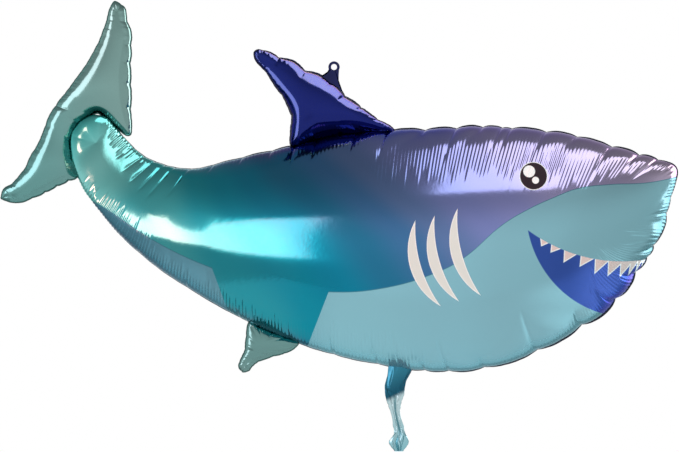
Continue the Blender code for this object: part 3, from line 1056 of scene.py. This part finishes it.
def build_body(material, weld):
    _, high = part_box("body_panel_left")
    chamber = Chamber(BODY_RIBS, 1.35 * MM, 40, high.y, BODY_FLATNESS, rear=(0.28, 0.25))
    lobes = table_pleats(chamber, BODY_CREASES, line=1.3 * MM)
    systems = (
        (lobes, 0.13),
        (even_pleats(chamber, seed=7, pitch=26 * MM, rise=0.3 * MM, end=70 * MM), 0.1),
        (Ripples(chamber, seed=5, pitch=5.5 * MM, table=BODY_RIPPLES), 0.04),
    )
    place = raised(chamber, systems, chin_lean=0.25)
    panel_pieces("body", chamber, place, material, "body_foil")
    weld_piece("body_weld", chamber, place, lobes, BODY_WELD_WIDTHS, weld, "seam_foil")


def build_fin(name, ribs, flatness, creases, spacing, arc_steps, pitch, rise, seed, material, weld, slot):
    """A fin with its lobes, smaller pleats on them and fine ripples."""
    _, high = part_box(f"{name}_panel_left")
    chamber = Chamber(ribs, spacing * MM, arc_steps, high.y, flatness)
    reach = 0.5 * chamber.rib_length.max()
    pitch, rise = pitch * MM, rise * MM
    if creases:
        lobes = table_pleats(chamber, creases, line=0.7 * MM)
    else:
        lobes = even_pleats(chamber, seed, pitch, rise, reach)
    systems = (
        (lobes, 0.0),
        (even_pleats(chamber, seed + 1, pitch=0.35 * pitch, rise=0.25 * rise, end=0.6 * reach), 0.0),
        (even_pleats(chamber, seed + 2, pitch=4.5 * MM, rise=0.2 * MM, end=0.5 * reach), 0.0),
    )
    place = raised(chamber, systems, window=20 * MM)
    panel_pieces(name, chamber, place, material, slot)
    weld_piece(f"{name}_weld", chamber, place, lobes, FIN_WELD_WIDTHS, weld, slot)


def circle(centre, radius, angle):
    """The places on a circle at these angles."""
    return np.stack([centre[0] + radius * np.cos(angle), centre[1] + radius * np.sin(angle)], axis=1)


def build_tab(material):
    """A flat tab with a round hole."""
    ring = circle(TAB_HOLE_CENTRE, TAB_RING_RADIUS, np.linspace(*np.radians(TAB_RING_ANGLES), 60))
    edge = np.concatenate([ring, TAB_FOOT, ring[:1]])
    run = running_length(edge)
    share = np.linspace(0, run[-1], 96, endpoint=False)
    edge = np.stack([np.interp(share, run, edge[:, k]) for k in range(2)], axis=1)
    away = edge - TAB_HOLE_CENTRE
    hole = circle(TAB_HOLE_CENTRE, TAB_HOLE_RADIUS, np.arctan2(away[:, 1], away[:, 0]))
    mesh = ribbon("hang_tab_film", edge * MM, hole * MM, TAB_HALF)
    add_piece("hang_tab_film", mesh, material, "dorsal_foil", "hang_tab")


def blurred(values):
    """Each value, averaged with the three on either side."""
    return np.convolve(np.pad(values, 3, mode="edge"), np.ones(7) / 7, mode="valid")


def build_neck(material):
    """A flattened, crumpled sleeve: its folds run down it, twist and get sharper towards the tied part."""
    random = np.random.default_rng(17)
    sections = np.array(NECK_SECTIONS, float) * MM
    levels = np.linspace(sections[0, 1], sections[-1, 1], 130)
    x, half_width, half_depth = (
        blurred(np.interp(-levels, -sections[:, 1], sections[:, k]))[:, None] for k in (0, 2, 3)
    )
    around = np.linspace(0, 2 * math.pi, 120, endpoint=False)
    down = (levels[0] - levels)[:, None]
    folds = np.zeros((len(levels), len(around)))
    for count, twist, height in NECK_FOLDS:
        start = random.uniform(0, 2 * math.pi)
        sway = FOLD_SWAY * np.sin(SWAY_RATE * down + start)
        folds += height * (1 - 2 * np.abs(np.sin(count * around + twist * down + start + sway)))
    for level, tilt in NECK_DENTS:
        away = down - level * MM - tilt * half_width * np.cos(around)
        folds -= DENT_DEPTH * np.exp(-((away / DENT_WIDTH) ** 2))
    size = 1 + folds * (TOP_FOLDS + (1 - TOP_FOLDS) * ease(down, *FOLD_RISE))
    across, deep = half_width * np.cos(around) * size, half_depth * np.sin(around) * size
    place = np.stack([x + across, deep, np.broadcast_to(levels[:, None], size.shape)], axis=-1)
    mesh = tube("inflation_neck_film", place)
    add_piece("inflation_neck_film", mesh, material, "neck_foil", "inflation_neck")


# The room's light on the camera's side and behind the balloon: the direction's z and the brightness.
ROOM_LIGHT = (
    (-1.0, 0.9), (-0.4, 0.92), (-0.25, 0.93), (-0.1, 0.95), (0.0, 0.97), (0.25, 0.87), (0.5, 0.62),
    (0.7, 0.47), (0.87, 0.38), (1.0, 0.32),
)
BACKDROP_LIGHT = (
    (-1.0, 0.5), (-0.5, 0.5), (-0.2, 0.8), (0.0, 1.0), (0.2, 1.0), (0.42, 0.75), (0.62, 0.45), (0.8, 0.36),
    (1.0, 0.32),
)

# The room is dimmer past the nose and low past the tail, and turns into the backdrop behind the balloon. Each
# change lies between two values of the direction's x, y or z.
NOSE_X, TAIL_X, LOW_Z, BACKDROP_Y = (0.53, 0.58), (-0.2, -0.5), (-0.2, -0.4), (0.0, 0.4)
ROOM_LEVEL, NOSE_LOSS, TAIL_LOSS = 1.03, 0.13, 0.4


def build_world():
    """The studio's light. The camera itself sees plain white behind the balloon."""
    world = bpy.data.worlds.new("studio")
    bpy.context.scene.world = world
    world.use_nodes = True
    tree = world.node_tree
    _, (x, y, z) = coordinate(tree, "Generated")
    level = z.curve(ROOM_LIGHT) * (ROOM_LEVEL - x.ramp(*NOSE_X) * NOSE_LOSS)
    level = level * (1 - x.ramp(*TAIL_X) * z.ramp(*LOW_Z) * TAIL_LOSS)
    level = level + y.ramp(*BACKDROP_Y) * (z.curve(BACKDROP_LIGHT) - level)
    seen = add_node(tree, "LightPath", {}).outputs["Is Camera Ray"]
    colour = add_node(tree, "Mix", {0: seen, 6: level, 7: (1, 1, 1)}, data_type="RGBA").outputs[2]
    give(tree, tree.nodes["Background"].inputs["Color"], colour)


# Soft boxes of light. Columns: the name, the brightness in red, green and blue, how much of it fades at the
# edges, how the names of the pieces that it lights start, or nothing for all of them, and the corners.
SOFT_BOXES = (
    ("left_box", (14, 3.0, 2.4), 0.3, ("body",),
     ((-1.62, -5.2, 2.6), (-2.07, -5.5, -1.5), (-4.3, -4.6, -3.0), (-2.4, -5.0, 2.5))),
    ("side_box", (2.9, 2.2, 2.4), 0.2, ("tail", "ventral", "inflation"),
     ((-2.9, -4.1, 3.4), (-2.9, -4.1, -0.4), (-4.4, -2.35, -0.4), (-4.4, -2.35, 3.4))),
    ("fin_box", (10, 8, 3.2), 0.2, ("dorsal",),
     ((-4.2, -3.5, 3.4), (-4.2, -3.5, -2.4), (-5.3, -1.4, -2.4), (-5.3, -1.4, 3.4))),
    ("high_box", (2.1, 2.1, 2.1), 0.15, ("body",),
     ((0.02, -1.55, 1.4), (0.95, -1.5, 1.4), (1.45, 0.75, 1.4), (0.08, 0.15, 1.4))),
    ("over_box", (20, 14, 4.8), 0.15, ("dorsal",),
     ((-0.2, -1.6, 1.5), (1.4, -1.6, 1.5), (1.7, 1.5, 1.5), (-0.1, 1.5, 1.5))),
    ("low_box", (0.5, 0.5, 0.5), 0.8, ("body",),
     ((0.8, -1.4, -1.2), (0.8, 1.0, -1.2), (2.4, 1.0, -1.2), (2.4, -1.4, -1.2))),
    ("back_box", (4, 3.2, 3.2), 0.3, (),
     ((2.5, 4.33, 3.2), (2.5, 4.33, -1.1), (4.85, 1.2, -1.1), (4.85, 1.2, 3.2))),
)
FLOOR_CORNERS = ((-1.1, -1.5, -1.3), (1.5, -1.5, -1.3), (1.5, 1.5, -1.3), (-1.1, 1.5, -1.3))


def sheet(name, corners):
    """A flat sheet between four corners, with its edges' places as a UV map."""
    mesh = bpy.data.meshes.new(name)
    mesh.from_pydata(corners, [], [(0, 1, 2, 3)])
    mesh.uv_layers.new(name="edges").uv.foreach_set("vector", (0, 0, 1, 0, 1, 1, 0, 1))
    return placed(name, mesh)


def build_soft_box(name, brightness, fade, lit, corners):
    """A sheet of light that adds to what lies behind it, and isn't seen itself."""
    material, tree = new_material(name)
    tree.nodes.remove(tree.nodes["Principled BSDF"])
    _, (across, up, _) = coordinate(tree, "UV")
    level, side_level = ((share * (1 - share)).ramp(0, fade / 4) for share in (across, up))
    brightest = max(brightness)
    colour = tuple(part / brightest for part in brightness)
    glow = add_node(tree, "Emission", {"Color": colour, "Strength": level * side_level * brightest})
    clear = add_node(tree, "BsdfTransparent", {})
    both = add_node(tree, "AddShader", {0: glow.outputs[0], 1: clear.outputs[0]})
    give(tree, tree.nodes["Material Output"].inputs["Surface"], both.outputs[0])
    box = sheet(name, corners)
    box.data.materials.append(material)
    box.visible_camera = False
    box.visible_shadow = False
    if lit:
        receivers = bpy.data.collections.new(f"{name}_lights")
        for piece in bpy.context.scene.objects:
            if piece.name.startswith(lit):
                receivers.objects.link(piece)
        box.light_linking.receiver_collection = receivers


def build_floor():
    floor = sheet("floor", FLOOR_CORNERS)
    foil = Foil("floor_paint")
    foil.set("Emission Color", (1.0, 1.0, 1.0))
    foil.set("Emission Strength", 0.37)
    paint = foil.mix((0.78, 0.78, 0.78), (0.82, 0.82, 0.82), foil.noise(3))
    floor.data.materials.append(foil.finish(paint, 0.0, 0.8))


def build_studio():
    bpy.context.scene.view_settings.view_transform = "Standard"
    build_world()
    for row in SOFT_BOXES:
        build_soft_box(*row)
    build_floor()


# The photo's frame in pixels, the balloon's length in it, and its real length.
PHOTO_WIDTH, LENGTH_IN_PHOTO, LENGTH = 679, 677, 1040 * MM
VIEW_CENTRE, VIEW_DISTANCE = Vector((-0.1068, 0, 0.020)), 10.0
SENSOR_WIDTH, FAR_END = 36, 100


def build_camera():
    """A long lens that looks square at the balloon's right side, with the photo's frame."""
    data = bpy.data.cameras.new("camera")
    data.sensor_width = SENSOR_WIDTH
    data.lens = SENSOR_WIDTH * VIEW_DISTANCE / (PHOTO_WIDTH * LENGTH / LENGTH_IN_PHOTO)
    data.clip_end = FAR_END
    camera = placed("camera", data)
    camera.location = VIEW_CENTRE + Vector((0, -VIEW_DISTANCE, 0))
    camera.rotation_euler = (math.pi / 2, 0, 0)
    bpy.context.scene.camera = camera


build_camera()
build_body(body_foil(), solid_foil("weld_print", WELD_INK, 0.3, STEM_WELD_INK))
navy = plain_foil("navy_print", NAVY_INKS, 0.12, coat=0.2)
navy_weld = solid_foil("navy_weld_print", NAVY_WELD_INK, 0.25)
sea = plain_foil("sea_print", SEA_INKS, 0.14)
sea_weld = solid_foil("fin_weld_print", SEA_WELD_INK, 0.3)
navy_looks, sea_looks = (navy, navy_weld, "dorsal_foil"), (sea, sea_weld, "tail_foil")
for row, looks in zip(FINS, (navy_looks, sea_looks, sea_looks)):
    build_fin(*row, *looks)
build_tab(solid_foil("tab_print", TAB_INK, 0.25))
build_neck(neck_foil())
build_studio()
